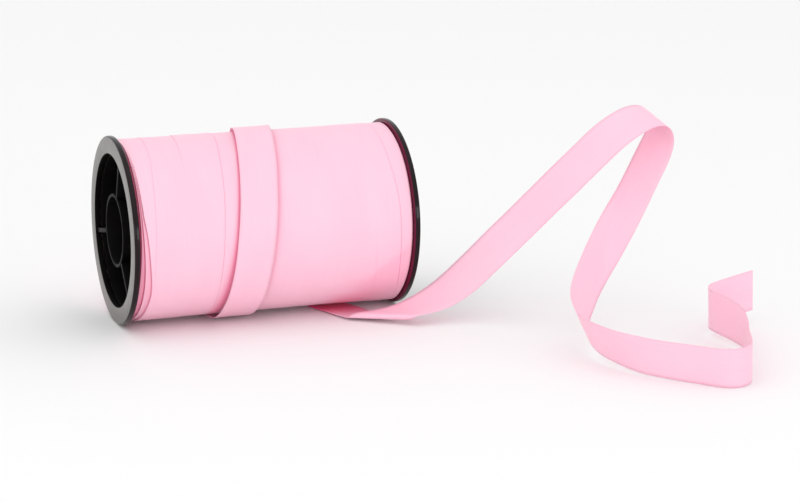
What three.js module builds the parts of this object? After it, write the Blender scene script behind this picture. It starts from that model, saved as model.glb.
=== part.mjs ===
// A roll of gift ribbon: a full plastic spool lying on its side, with the ribbon's last turn
// loose on the roll and its free end standing in an arch and a loop beside it.
// Millimetres, +Z up. The spool's axis lies along X and the free end comes forward, towards -Y.

import * as THREE from "three";

// Ribbon, and the clearance between pieces that touch
const RIBBON_WIDTH = 19;
const SHEET = 1;
const GAP = 0.3;

// Moulded spool
const SPOOL_LENGTH = 145.8;
const FLANGE_RADIUS = 47.2;
const FLANGE_THICKNESS = 3;
const RIM_ROUND = 1;
const RIM_ROUND_STEPS = 3;
const FLAT_DEPTH = 0.2;
const MOUTH_RADIUS = 38.3;
const BARREL_WALL = 1.5;
const HUB_RADIUS = 18.4;
const HUB_WALL = 1.5;
const RIB_COUNT = 3;
const FIRST_RIB_ANGLE = -12;
const RIB_THICKNESS = { hub: 2, barrel: 2.5 };
const RECESS = 1;
const ROUND_STEPS = 72;

// Wound ribbon: its radius, the swell towards both ends as a share of its length, and the trough
// beside the left flange, deepest at middle degrees round from the underside
const WINDING_RADIUS = 45.3;
const WINDING_STEPS = 18;
const WINDING_SPACING = 1.7;
const END_SWELL = 0.35;
const SWELL_REACH = 0.3;
const TROUGH = { depth: 2.2, width: 6.5, middle: 40, reach: 95 };

// Last turn, from under the roll over its front and top and back to the underside.
// turn: degrees round from the underside, lift: how far the turn stands off the winding.
const LAST_TURN = { startX: -17.5, exitX: 36.5, exitLean: 18, steps: 72 };
const LIFTS = [
  { turn: 0, lift: 0.45 },
  { turn: 22, lift: 1.7 },
  { turn: 50, lift: 1.9 },
  { turn: 95, lift: 0.9 },
  { turn: 140, lift: 0.9 },
  { turn: 180, lift: 1.4 },
  { turn: 240, lift: 0.8 },
  { turn: 300, lift: 0.6 },
  { turn: 360, lift: 0.45 },
];

// Bends of the free end. at: millimetres along its middle line from where it leaves the roll,
// over: length that the bend spreads over, turn: degrees, towards the inner face if positive,
// slant: degrees between the line of the bend and straight across the ribbon.
const FREE_LENGTH = 582;
const BENDS = [
  { name: "leaves the roll", at: 25, over: 28, turn: 4, slant: -18 },
  { name: "folds over on the table", at: 50, over: 12, turn: 178, slant: -57 },
  { name: "rises", at: 77, over: 78, turn: -79, slant: -41 },
  { name: "leans over", at: 209, over: 44, turn: 41, slant: -24 },
  { name: "top of the arch", at: 234, over: 51, turn: 150, slant: -7 },
  { name: "swings forward", at: 299, over: 59, turn: 71, slant: -59 },
  { name: "comes down on its edge", at: 353, over: 69, turn: 71, slant: -17 },
  { name: "runs to the right", at: 394, over: 73, turn: 32, slant: -34 },
  { name: "loop at the right", at: 451, over: 38, turn: 114.3, slant: -2 },
  { name: "comes back", at: 520, over: 48, turn: 36.8, slant: 21 },
  { name: "short bend behind", at: 554.3, over: 37, turn: -106.7, slant: 16.6 },
];

// Steps along the free end: the most degrees folded at one line, and the range of their lengths
const FOLD_STEP = 8;
const STEP = { least: 0.4, most: 2.4 };

const ribbonMaterial = () => new THREE.MeshStandardMaterial({ color: 0xf8c0d8, roughness: 0.4 });
const plasticMaterial = () => new THREE.MeshStandardMaterial({ color: 0x1b1817, roughness: 0.35 });

const radians = THREE.MathUtils.degToRad;
const smoothstep = THREE.MathUtils.smoothstep;

// What a function gives at even shares from 0 to 1, both ends included
function evenly(steps, valueAt) {
  return Array.from({ length: steps + 1 }, (_, k) => valueAt(k / steps));
}

// A named mesh of one piece
function piece(name, geometry, material) {
  const mesh = new THREE.Mesh(geometry, material);
  mesh.name = name;
  return mesh;
}

// A body turned about X from [radius, x] pairs that go round its section
function turnedBody(section) {
  const points = section.map(([radius, x]) => new THREE.Vector2(radius, x));
  const geometry = new THREE.LatheGeometry([...points, points[0].clone()], ROUND_STEPS);
  return geometry.rotateZ(-Math.PI / 2);
}

// A plain tube, as [radius, x] pairs
function tubeSection(inner, outer, length) {
  const half = length / 2;
  return [[inner, half], [inner, -half], [outer, -half], [outer, half]];
}

// Quarter circle of the rim's rounding, from one angle to the next
function rimRounding(centreX, from, to) {
  const centreRadius = FLANGE_RADIUS - RIM_ROUND;
  return evenly(RIM_ROUND_STEPS, (share) => {
    const angle = radians(THREE.MathUtils.lerp(from, to, share));
    return [centreRadius + RIM_ROUND * Math.cos(angle), centreX + RIM_ROUND * Math.sin(angle)];
  });
}

// End ring with a rounded rim, flattened a little where it stands
function flange(side) {
  const half = FLANGE_THICKNESS / 2;
  const reach = half - RIM_ROUND;
  const geometry = turnedBody([
    [MOUTH_RADIUS, half],
    [MOUTH_RADIUS, -half],
    ...rimRounding(-reach, -90, 0),
    ...rimRounding(reach, 0, 90),
  ]);
  const position = geometry.getAttribute("position");
  const standing = FLAT_DEPTH - FLANGE_RADIUS;
  for (let i = 0; i < position.count; i++) {
    position.setZ(i, Math.max(position.getZ(i), standing));
  }
  const mesh = piece(side < 0 ? "flange_left" : "flange_right", geometry, plasticMaterial());
  mesh.position.x = side * (SPOOL_LENGTH / 2 - half);
  return mesh;
}

// Length between the inner faces of the flanges, less a clearance at each
function betweenFlanges(clearance) {
  return SPOOL_LENGTH - 2 * (FLANGE_THICKNESS + clearance);
}

function barrel() {
  const section = tubeSection(MOUTH_RADIUS, MOUTH_RADIUS + BARREL_WALL, betweenFlanges(GAP));
  return piece("barrel", turnedBody(section), plasticMaterial());
}

function hub() {
  const section = tubeSection(HUB_RADIUS - HUB_WALL, HUB_RADIUS, SPOOL_LENGTH - 2 * RECESS);
  return piece("hub", turnedBody(section), plasticMaterial());
}

// Rib from the hub to the barrel, a little thicker at the barrel, turned to its angle from +Y
function rib(index) {
  const from = HUB_RADIUS + GAP;
  const to = MOUTH_RADIUS - GAP;
  const length = SPOOL_LENGTH - 2 * RECESS;
  const shape = new THREE.Shape();
  shape.moveTo(from, -RIB_THICKNESS.hub / 2);
  shape.lineTo(to, -RIB_THICKNESS.barrel / 2);
  shape.lineTo(to, RIB_THICKNESS.barrel / 2);
  shape.lineTo(from, RIB_THICKNESS.hub / 2);
  const geometry = new THREE.ExtrudeGeometry(shape, { depth: length, bevelEnabled: false });
  geometry.translate(0, 0, -length / 2);
  geometry.rotateX(Math.PI / 2).rotateZ(Math.PI / 2);
  const mesh = piece(`rib_${index + 1}`, geometry, plasticMaterial());
  mesh.rotation.x = radians(FIRST_RIB_ANGLE + (360 / RIB_COUNT) * index);
  return mesh;
}

// Degrees travelled round the roll, from the underside forward over the front and the top
function turnOf(y, z) {
  return THREE.MathUtils.euclideanModulo(THREE.MathUtils.radToDeg(Math.atan2(-y, -z)), 360);
}

// Radius of the winding at a place along the roll, 0 to 1, and round it, in degrees
function windingRadius(along, turn, length) {
  const fromEnd = Math.min(along, 1 - along);
  const swell = END_SWELL * (1 - smoothstep(fromEnd, 0, SWELL_REACH));
  const across = 1 - smoothstep(along * length, TROUGH.width / 2, TROUGH.width);
  const round = 1 - smoothstep(Math.abs(turn - TROUGH.middle), 0, TROUGH.reach);
  return WINDING_RADIUS + swell - TROUGH.depth * across * round;
}

// The wound ribbon as one solid on the barrel
function winding() {
  const length = betweenFlanges(GAP);
  const inner = MOUTH_RADIUS + BARREL_WALL + GAP;
  const outside = evenly(WINDING_STEPS, (share) => [
    WINDING_RADIUS,
    (share ** WINDING_SPACING - 0.5) * length,
  ]);
  const geometry = turnedBody([[inner, length / 2], [inner, -length / 2], ...outside]);
  const position = geometry.getAttribute("position");
  const point = new THREE.Vector3();
  for (let i = 0; i < position.count; i++) {
    point.fromBufferAttribute(position, i);
    const radius = Math.hypot(point.y, point.z);
    if (radius < inner + GAP) continue;
    const scale = windingRadius(point.x / length + 0.5, turnOf(point.y, point.z), length) / radius;
    position.setXYZ(i, point.x, point.y * scale, point.z * scale);
  }
  return piece("ribbon_winding", geometry, ribbonMaterial());
}

// Stand-off of the last turn, eased from one row of the table to the next
function liftAt(turn) {
  const next = Math.max(1, LIFTS.findIndex((row) => row.turn >= turn));
  const [from, to] = [LIFTS[next - 1], LIFTS[next]];
  return THREE.MathUtils.lerp(from.lift, to.lift, smoothstep(turn, from.turn, to.turn));
}

// Radius of the last turn's middle layer
function lastTurnRadius(turn) {
  return WINDING_RADIUS + liftAt(turn) + SHEET / 2;
}

// Cross lines of the last turn. The line lies along X; its middle drifts to the right, slowly at
// first and at the end by the lean at which the ribbon leaves the roll. The turn ends a gap short
// of the free end, which carries it on.
function lastTurnLines() {
  const whole = 2 * Math.PI;
  const exitDrift = lastTurnRadius(360) * Math.tan(radians(LAST_TURN.exitLean));
  const gathering = (exitDrift * whole - (LAST_TURN.exitX - LAST_TURN.startX)) / whole ** 2;
  const firstDrift = exitDrift - 2 * gathering * whole;
  const end = whole - GAP / lastTurnRadius(360);
  return evenly(LAST_TURN.steps, (share) => {
    const angle = end * share;
    const radius = lastTurnRadius(THREE.MathUtils.radToDeg(angle));
    const drift = firstDrift + 2 * gathering * angle;
    const middleX = LAST_TURN.startX + firstDrift * angle + gathering * angle ** 2;
    const halfLine = (RIBBON_WIDTH / 2) * Math.hypot(1, drift / radius);
    const out = new THREE.Vector3(0, -Math.sin(angle), -Math.cos(angle));
    const middle = out.clone().multiplyScalar(radius).setX(middleX);
    return { middle, half: new THREE.Vector3(-halfLine, 0, 0), out: out.multiplyScalar(SHEET / 2) };
  });
}

// Share of a bend, 0 to 1, that lies before a place along the free end
function bendShare(bend, place) {
  const part = THREE.MathUtils.clamp((place - bend.at) / bend.over, -0.5, 0.5);
  return part + 0.5 + Math.sin(2 * Math.PI * part) / (2 * Math.PI);
}

// Degrees that the free end has turned before a place along it
function turnedBefore(place) {
  return BENDS.reduce((sum, bend) => sum + bend.turn * bendShare(bend, place), 0);
}

// Tangent of the slant at a place, straight between one bend's slant and the next
function slantAt(place) {
  const rows = [{ at: 0, slant: -LAST_TURN.exitLean }, ...BENDS];
  const next = rows.findIndex((row) => row.at > place);
  if (next < 0) return Math.tan(radians(rows.at(-1).slant));
  const [from, to] = [rows[next - 1], rows[next]];
  const share = (place - from.at) / (to.at - from.at);
  return THREE.MathUtils.lerp(Math.tan(radians(from.slant)), Math.tan(radians(to.slant)), share);
}

// Places of the cross lines along the free end, closer together where it bends
function freeEndPlaces() {
  const places = [0];
  while (places.at(-1) < FREE_LENGTH) {
    const place = places.at(-1);
    const ahead = place + STEP.most;
    const bent = BENDS.reduce(
      (sum, bend) => sum + Math.abs(bend.turn * (bendShare(bend, ahead) - bendShare(bend, place))),
      0,
    );
    const wanted = (STEP.most * FOLD_STEP) / bent;
    places.push(Math.min(place + THREE.MathUtils.clamp(wanted, STEP.least, STEP.most), FREE_LENGTH));
  }
  return places;
}

// Cross lines of the free end. The ribbon stays flat between two lines and folds a little at each
// one, so its width and length are those of a flat ribbon everywhere.
function freeEndLines() {
  const places = freeEndPlaces();
  const heading = radians(LAST_TURN.exitLean - 90);
  const forward = new THREE.Vector3(Math.cos(heading), Math.sin(heading), 0);
  const out = new THREE.Vector3(0, 0, -1);
  const left = out.clone().cross(forward);
  const basis = new THREE.Matrix4().makeBasis(forward, left, out);
  const frame = new THREE.Quaternion().setFromRotationMatrix(basis);
  const middle = new THREE.Vector3(LAST_TURN.exitX, 0, -lastTurnRadius(360));
  return places.map((place, k) => {
    const before = k > 0 ? (places[k - 1] + place) / 2 : place;
    const after = k < places.length - 1 ? (place + places[k + 1]) / 2 : place;
    const fold = radians(turnedBefore(after) - turnedBefore(before));
    const line = new THREE.Vector3(slantAt(place), 1, 0);
    const half = line.clone().applyQuaternion(frame).multiplyScalar(RIBBON_WIDTH / 2);
    const axis = line.normalize();
    frame.multiply(new THREE.Quaternion().setFromAxisAngle(axis, fold / 2));
    const thickness = SHEET / 2 / Math.cos(fold / 2);
    const faceOut = new THREE.Vector3(0, 0, thickness).applyQuaternion(frame);
    frame.multiply(new THREE.Quaternion().setFromAxisAngle(axis, fold / 2));
    const section = { middle: middle.clone(), half, out: faceOut };
    const step = k < places.length - 1 ? places[k + 1] - place : 0;
    middle.add(new THREE.Vector3(step, 0, 0).applyQuaternion(frame));
    return section;
  });
}

// Closed sheet through a row of cross lines, four corners at each line
function sheetBody(lines) {
  const corners = lines.flatMap(({ middle, half, out }) => [
    middle.clone().add(half).add(out),
    middle.clone().sub(half).add(out),
    middle.clone().sub(half).sub(out),
    middle.clone().add(half).sub(out),
  ]);
  const index = [];
  const quad = (a, b, c, d) => index.push(a, b, c, a, c, d);
  const sides = 4;
  for (let row = 0; row < lines.length - 1; row++) {
    for (let side = 0; side < sides; side++) {
      const a = row * sides + side;
      const b = row * sides + ((side + 1) % sides);
      quad(a, b, b + sides, a + sides);
    }
  }
  const last = (lines.length - 1) * sides;
  quad(3, 2, 1, 0);
  quad(last, last + 1, last + 2, last + 3);
  const geometry = new THREE.BufferGeometry().setFromPoints(corners);
  geometry.setIndex(index);
  geometry.computeVertexNormals();
  return geometry;
}

// The loose end is one length of ribbon, in two solids: its turn on the roll, and what is off it
function looseEnd() {
  const turn = piece("ribbon_last_turn", sheetBody(lastTurnLines()), ribbonMaterial());
  const free = piece("ribbon_free_end", sheetBody(freeEndLines()), ribbonMaterial());
  return [turn, free];
}

function buildSpool() {
  const spool = new THREE.Group();
  spool.add(flange(-1), flange(1), barrel(), hub());
  for (let index = 0; index < RIB_COUNT; index++) spool.add(rib(index));
  return spool;
}

function buildRibbon() {
  const ribbon = new THREE.Group();
  ribbon.add(winding(), ...looseEnd());
  return ribbon;
}

// The whole roll, moved so that the middle of its footprint is the origin
function buildRoll() {
  const roll = new THREE.Group();
  roll.add(buildSpool(), buildRibbon());
  roll.updateMatrixWorld(true);
  const box = new THREE.Box3().setFromObject(roll, true);
  const centre = box.getCenter(new THREE.Vector3());
  roll.position.set(-centre.x, -centre.y, -box.min.z);
  roll.updateMatrixWorld(true);
  return roll;
}

export default buildRoll();
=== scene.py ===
"""A roll of pink gift ribbon on a black plastic spool, with its free end standing in an arch.

The spool lies along X and the free end comes forward, towards -Y, and runs off to the right.
Sizes are in millimetres in the classes' fields and in metres in every mesh, Z up. Places on the
roll are given from the middle of the spool, and round it as a turn in degrees from the underside
forward over the front and the top.
"""

import itertools
import logging
import math
from dataclasses import dataclass, field
from enum import Enum
from typing import Optional, Sequence

import bpy
import numpy as np
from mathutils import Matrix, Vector


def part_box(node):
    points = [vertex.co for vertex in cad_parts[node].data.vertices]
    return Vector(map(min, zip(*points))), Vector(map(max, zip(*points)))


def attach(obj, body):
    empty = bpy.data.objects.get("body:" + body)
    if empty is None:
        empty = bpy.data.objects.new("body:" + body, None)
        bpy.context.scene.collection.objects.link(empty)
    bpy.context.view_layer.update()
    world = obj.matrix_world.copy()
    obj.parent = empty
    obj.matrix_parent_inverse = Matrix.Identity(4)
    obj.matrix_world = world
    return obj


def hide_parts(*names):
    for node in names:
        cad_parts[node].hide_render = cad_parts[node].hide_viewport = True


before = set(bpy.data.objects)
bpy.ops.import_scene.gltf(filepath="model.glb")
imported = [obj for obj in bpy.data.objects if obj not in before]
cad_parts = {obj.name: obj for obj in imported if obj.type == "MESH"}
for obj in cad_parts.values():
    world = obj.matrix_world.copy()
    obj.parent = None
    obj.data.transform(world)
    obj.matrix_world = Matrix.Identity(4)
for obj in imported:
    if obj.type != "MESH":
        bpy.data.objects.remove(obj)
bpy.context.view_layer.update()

LOG = logging.getLogger("gift_ribbon")
MM = 0.001
RIBBON_UV = "ribbon"
# Name of the point attribute that carries the painted shade and painted shadows on the ribbon.
PAINTED_SHADE_ATTRIBUTE = "painted_shade"
NOISE_RANGE = (0.3, 0.7)

Array = np.ndarray
Colour = tuple[float, float, float]
Socket = bpy.types.NodeSocket


class Slot(Enum):
    """Material slots of the record."""

    RIBBON = "ribbon"
    PLASTIC = "spool_plastic"


class End(Enum):
    """The two ends of the spool, by the direction in which each faces along X."""

    LEFT = -1
    RIGHT = 1


class RingFace(Enum):
    """The kinds of face on an end ring, by the number of their material."""

    OUTSIDE = 0
    RIM = 1
    MOUTH = 2
    TO_RIBBON = 3


# Surfaces


def smoothstep(low: float, high: float, value: Array) -> Array:
    """Eases from 0 at low to 1 at high: 3 t^2 - 2 t^3, with t the share of the way, kept in 0..1.

    Args:
        low: value at which the result starts to rise.
        high: value from which the result is 1.
        value: values to ease.

    Returns:
        The eased shares.
    """
    share = np.clip((value - low) / (high - low), 0.0, 1.0)
    return share * share * (3.0 - 2.0 * share)


def curve_through(places: Sequence[float], values: Sequence[float], at: Array) -> Array:
    """Smooth curve through points: a cubic between two points, its slope at each inner point the
    slope from the point before to the point after. Outside the points the end values hold.

    Args:
        places: rising places of the points, of shape (points,).
        values: values at those places, of shape (points,) or (points, 3).
        at: places to work the curve out for, of shape (count,).

    Returns:
        The curve's values, of shape (count,) or (count, 3).
    """
    x, y = np.asarray(places, float), np.asarray(values, float)
    at = np.clip(at, x[0], x[-1])
    k = np.clip(np.searchsorted(x, at, side="right") - 1, 0, len(x) - 2)
    spread = (-1,) + (1,) * (y.ndim - 1)
    slope = np.zeros_like(y)
    slope[1:-1] = (y[2:] - y[:-2]) / (x[2:] - x[:-2]).reshape(spread)
    width = (x[k + 1] - x[k]).reshape(spread)
    t = (at - x[k]).reshape(spread) / width
    start = (1 + 2 * t) * (1 - t) ** 2 * y[k] + t * (1 - t) ** 2 * width * slope[k]
    end = t * t * (3 - 2 * t) * y[k + 1] + t * t * (t - 1) * width * slope[k + 1]
    return start + end


def arc(centre: tuple[float, float], radius: float, start: float, end: float, steps: int) -> Array:
    """Points of an arc: centre + radius (cos a, sin a), with a going evenly from start to end.

    Args:
        centre: the arc's centre in the plane of the profile.
        radius: the arc's radius.
        start: first angle in degrees.
        end: last angle in degrees.
        steps: number of chords.

    Returns:
        An array of steps + 1 points.
    """
    angle = np.radians(np.linspace(start, end, steps + 1))
    return np.stack([centre[0] + radius * np.cos(angle), centre[1] + radius * np.sin(angle)], -1)


def turning(axis: Array, angle: Array) -> Array:
    """Rotation matrices about axes through the origin, by Rodrigues' formula:
    I + sin(angle) K + (1 - cos(angle)) K K, with K the cross product by the unit axis.

    Args:
        axis: axes of any length, of shape (count, 3).
        angle: angles in radians, of shape (count,).

    Returns:
        Matrices of shape (count, 3, 3).
    """
    x, y, z = (axis / np.linalg.norm(axis, axis=1, keepdims=True)).T
    zero = np.zeros_like(x)
    cross = np.stack([zero, -z, y, z, zero, -x, -y, x, zero], -1).reshape(-1, 3, 3)
    sine, rest = np.sin(angle)[:, None, None], (1 - np.cos(angle))[:, None, None]
    return np.eye(3) + sine * cross + rest * (cross @ cross)


def grid_corners(rows: int, columns: int, wrap_rows: bool) -> tuple[Array, Array]:
    """Rows and columns of the four corners of every quad in a grid whose columns close in a ring.
    Numbers past the last row or column stand for the first one, met again.

    Args:
        rows: rows of points.
        columns: points in each row.
        wrap_rows: whether the last row joins the first.

    Returns:
        Two arrays of shape (quads, 4): the row numbers and the column numbers.
    """
    row_starts = np.arange(rows if wrap_rows else rows - 1)
    i, j = np.meshgrid(row_starts, np.arange(columns), indexing="ij")
    row = np.stack([i, i + 1, i + 1, i], -1).reshape(-1, 4)
    column = np.stack([j, j, j + 1, j + 1], -1).reshape(-1, 4)
    return row, column


def signed_volume(points: Array, quads: Array) -> float:
    """Volume inside closed quads, positive where they face outwards: the sum of the volumes of
    the tetrahedra from the middle of the points to both triangles of every quad.

    Args:
        points: the vertices.
        quads: vertex numbers, four to a face.

    Returns:
        The volume in cubic metres.
    """
    corner = (points - points.mean(0))[quads]
    one = np.cross(corner[:, 0], corner[:, 1]) * corner[:, 2]
    two = np.cross(corner[:, 0], corner[:, 2]) * corner[:, 3]
    return float((one.sum() + two.sum()) / 6)


def ring_grid_object(
    name: str,
    grid: Array,
    wrap_rows: bool,
    uv: Optional[Array] = None,
    painted_shade: Optional[Array] = None,
) -> bpy.types.Object:
    """Closed body from a grid of points whose every row is a ring: the surface passes through
    grid[i, j] and joins neighbours in both directions. Open ends are closed by one flat face.

    Args:
        name: the piece's name.
        grid: points in metres, of shape (rows, columns, 3).
        wrap_rows: whether the last row joins the first, as on a turned body.
        uv: place on the ribbon in metres, of shape (rows + 1, columns + 1, 2) with wrapped rows,
            or (rows, columns + 1, 2) without.
        painted_shade: share of painted shade and painted shadow at each point, of shape (rows,
            columns).

    Returns:
        The new object, with its faces outwards and shaded smooth.
    """
    rows, columns = grid.shape[:2]
    points = grid.reshape(-1, 3)
    row, column = grid_corners(rows, columns, wrap_rows)
    quads = (row % rows) * columns + column % columns
    ends = [np.arange(columns)[::-1], (rows - 1) * columns + np.arange(columns)]
    caps = [] if wrap_rows else ends
    if signed_volume(points, quads) < 0:
        quads, row, column = quads[:, ::-1], row[:, ::-1], column[:, ::-1]
        caps = [cap[::-1] for cap in caps]
    mesh = bpy.data.meshes.new(name)
    mesh.from_pydata(points.tolist(), [], quads.tolist() + [cap.tolist() for cap in caps])
    mesh.polygons.foreach_set("use_smooth", np.arange(len(mesh.polygons)) < len(quads))
    if uv is not None:
        layer = mesh.uv_layers.new(name=RIBBON_UV)
        flat = np.zeros((len(mesh.loops), 2))
        flat[: quads.size] = uv[row, column].reshape(-1, 2)
        layer.data.foreach_set("uv", flat.ravel())
    # Painted shade: the shares go on a point attribute that the ribbon's material reads.
    if painted_shade is not None:
        attribute = mesh.attributes.new(PAINTED_SHADE_ATTRIBUTE, "FLOAT", "POINT")
        attribute.data.foreach_set("value", painted_shade.ravel().astype(np.float32))
    mesh.validate()
    piece = bpy.data.objects.new(name, mesh)
    bpy.context.scene.collection.objects.link(piece)
    return piece


def rounded_section(
    x: tuple[float, float],
    radius: tuple[float, float],
    rounds: tuple[float, float],
    steps: tuple[int, int],
) -> Array:
    """Closed section of a turned body: a rectangle with quarter circles for its corners.

    Args:
        x: its two ends along the axis.
        radius: its inner and its outer radius.
        rounds: radii of the corners at the inner and at the outer radius.
        steps: chords in each corner at the inner and at the outer radius.

    Returns:
        The section's points, as places along the axis and radii.
    """
    (left, right), (inner, outer) = x, radius
    (small, large), (few, many) = rounds, steps
    return np.concatenate([
        arc((right - small, inner + small), small, -90, 0, few),
        arc((right - large, outer - large), large, 0, 90, many),
        arc((left + large, outer - large), large, 90, 180, many),
        arc((left + small, inner + small), small, 180, 270, few),
    ])


def turned_object(
    name: str, section: Array, middle: Array, floor: float, steps: int
) -> bpy.types.Object:
    """Body turned about the spool's axis: each section point (x, r) goes to
    middle + (x, r cos a, r sin a) for a all round, and no point goes below the floor.

    Args:
        name: the piece's name.
        section: closed section in metres, of shape (points, 2): place along the axis, radius.
        middle: middle of the spool in metres.
        floor: lowest height in metres.
        steps: steps round the axis.

    Returns:
        The new object.
    """
    angle = np.linspace(0.0, 2 * math.pi, steps, endpoint=False)[:, None]
    x = np.broadcast_to(section[:, 0], (steps, len(section)))
    grid = np.stack([x, section[:, 1] * np.cos(angle), section[:, 1] * np.sin(angle)], -1) + middle
    grid[..., 2] = np.maximum(grid[..., 2], floor)
    return ring_grid_object(name, grid, wrap_rows=True)


def dress(piece: bpy.types.Object, slot: Slot, *materials: bpy.types.Material) -> None:
    """Gives a piece its materials, replacing any that it has.

    Args:
        piece: the object to dress.
        slot: the record's material slot; not used.
        materials: the materials in order of their numbers on the faces.
    """
    piece.data.materials.clear()
    for material in materials:
        piece.data.materials.append(material)


def report(piece: bpy.types.Object) -> None:
    """Logs a finished piece with its triangles.

    Args:
        piece: the finished object.
    """
    mesh = piece.data
    mesh.calc_loop_triangles()
    LOG.info("%s: %d triangles", piece.name, len(mesh.loop_triangles))


# Finishes


@dataclass
class NodeTree:
    """Short way to add and join the nodes of one material."""

    material: bpy.types.Material

    @classmethod
    def new(cls, name: str) -> "NodeTree":
        """Starts a material with a Principled shader.

        Args:
            name: the material's name.

        Returns:
            The tree of the new material.
        """
        material = bpy.data.materials.new(name)
        material.use_nodes = True
        return cls(material)

    @property
    def shader(self) -> bpy.types.Node:
        """The material's Principled shader."""
        return self.material.node_tree.nodes["Principled BSDF"]

    def add(self, kind: str, **settings: object) -> bpy.types.Node:
        """Adds a node.

        Args:
            kind: the node's type in Blender, less its ShaderNode prefix.
            settings: node properties by name.

        Returns:
            The new node.
        """
        node = self.material.node_tree.nodes.new("ShaderNode" + kind)
        for name, value in settings.items():
            setattr(node, name, value)
        return node

    @staticmethod
    def set_inputs(node: bpy.types.Node, **inputs: float) -> None:
        """Sets inputs of a node.

        Args:
            node: the node.
            inputs: values by the inputs' names, with _ for each space.
        """
        for name, value in inputs.items():
            node.inputs[name.replace("_", " ")].default_value = value

    def join(self, source: Socket, target: Socket) -> None:
        """Links an output to an input."""
        self.material.node_tree.links.new(source, target)

    def scaled(self, place: Socket, scale: tuple[float, float, float]) -> Socket:
        """Scales a coordinate.

        Args:
            place: the coordinate's output.
            scale: factors along its three axes.

        Returns:
            The scaled coordinate.
        """
        mapping = self.add("Mapping")
        mapping.inputs["Scale"].default_value = scale
        self.join(place, mapping.inputs["Vector"])
        return mapping.outputs["Vector"]

    def noise(self, place: Socket, scale: float, detail: float) -> Socket:
        """Adds noise.

        Args:
            place: the coordinate.
            scale: noise features to a unit of the coordinate.
            detail: octaves of finer noise.

        Returns:
            The noise, from 0 to 1.
        """
        node = self.add("TexNoise")
        self.set_inputs(node, Scale=scale, Detail=detail)
        self.join(place, node.inputs["Vector"])
        return node.outputs["Fac"]

    def ranged(self, value: Socket, low: float, high: float) -> Socket:
        """Maps the range that a noise mostly covers to another one.

        Args:
            value: the noise.
            low: result at the low end of that range and below.
            high: result at its high end and above.

        Returns:
            The mapped value.
        """
        node = self.add("MapRange")
        least, most = NOISE_RANGE
        self.set_inputs(node, From_Min=least, From_Max=most, To_Min=low, To_Max=high)
        self.join(value, node.inputs["Value"])
        return node.outputs["Result"]

    def summed(self, first: Socket, second: Socket) -> Socket:
        """Adds two values.

        Args:
            first: output with the first value.
            second: output with the second value.

        Returns:
            Their sum.
        """
        node = self.add("Math", operation="ADD")
        self.join(first, node.inputs[0])
        self.join(second, node.inputs[1])
        return node.outputs["Value"]

    def mixed(
        self,
        share: Socket,
        first: Sequence[float] | Socket,
        second: Sequence[float],
    ) -> Socket:
        """Mixes two colours.

        Args:
            share: share of the second colour.
            first: colour at share 0, as three numbers or as an output.
            second: colour at share 1.

        Returns:
            The mixed colour.
        """
        node = self.add("Mix", data_type="RGBA")
        one, two = (socket for socket in node.inputs if socket.type == "RGBA")
        if isinstance(first, Socket):
            self.join(first, one)
        else:
            one.default_value = (*first, 1)
        two.default_value = (*second, 1)
        self.join(share, node.inputs["Factor"])
        return next(socket for socket in node.outputs if socket.type == "RGBA")

    def bump(self, height: Socket, depth: float) -> None:
        """Raises the surface by a height.

        Args:
            height: the height as a share of the depth.
            depth: full height in millimetres.
        """
        node = self.add("Bump")
        self.set_inputs(node, Strength=1, Distance=depth * MM)
        self.join(height, node.inputs["Height"])
        self.join(node.outputs["Normal"], self.shader.inputs["Normal"])


@dataclass(frozen=True)
class SatinRibbonFinish:
    """Pink satin-finish ribbon: fine lines along its length, cross lines finer still and fainter,
    soft patches of a slightly deeper pink, and painted shade: a full pink painted into the gaps
    between turns and into shadows, where light would reach it only off the ribbon itself."""

    name: str
    pale: Colour = (0.990, 0.585, 0.712)
    deep: Colour = (0.985, 0.560, 0.692)
    # Painted shade: deep pink for gaps and shadows, where light reaches only off the ribbon.
    painted_shade_pink: Colour = (0.930, 0.100, 0.290)
    roughness: tuple[float, float] = (0.42, 0.52)
    lines_per_metre: float = 2600.0
    line_run: float = 0.012
    line_depth: float = 0.012
    cross_lines_per_metre: float = 900.0
    cross_line_run: float = 0.06
    cross_line_share: float = 0.4
    patches_per_metre: float = 55.0
    patch_run: float = 0.35

    def material(self) -> bpy.types.Material:
        """Builds the material on the ribbon's own UV map, in metres across and along it.

        Returns:
            The new material.
        """
        tree = NodeTree.new(self.name)
        place = tree.add("UVMap", uv_map=RIBBON_UV).outputs["UV"]
        along = tree.scaled(place, (1, self.line_run, 1))
        lines = tree.noise(along, self.lines_per_metre, detail=3)
        crossways = tree.scaled(place, (self.cross_line_run, 1, 1))
        cross = tree.noise(crossways, self.cross_lines_per_metre, detail=2)
        drawn_out = tree.scaled(place, (1, self.patch_run, 1))
        patches = tree.noise(drawn_out, self.patches_per_metre, detail=2)
        tone = tree.summed(tree.ranged(lines, 0, 0.5), tree.ranged(patches, 0, 0.5))
        pink = tree.mixed(tree.ranged(tone, 0, 1), self.pale, self.deep)
        # Painted shade: the attribute mixes the deep pink into the ribbon's colour.
        painted_shade = tree.add("Attribute", attribute_name=PAINTED_SHADE_ATTRIBUTE).outputs["Fac"]
        colour = tree.mixed(painted_shade, pink, self.painted_shade_pink)
        tree.join(colour, tree.shader.inputs["Base Color"])
        tree.join(tree.ranged(lines, *self.roughness), tree.shader.inputs["Roughness"])
        raised = tree.summed(lines, tree.ranged(cross, 0, self.cross_line_share))
        tree.bump(raised, self.line_depth)
        tree.set_inputs(tree.shader, IOR=1.45, Specular_IOR_Level=0.35)
        tree.set_inputs(tree.shader, Sheen_Weight=0.08, Sheen_Roughness=0.4)
        return tree.material


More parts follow.
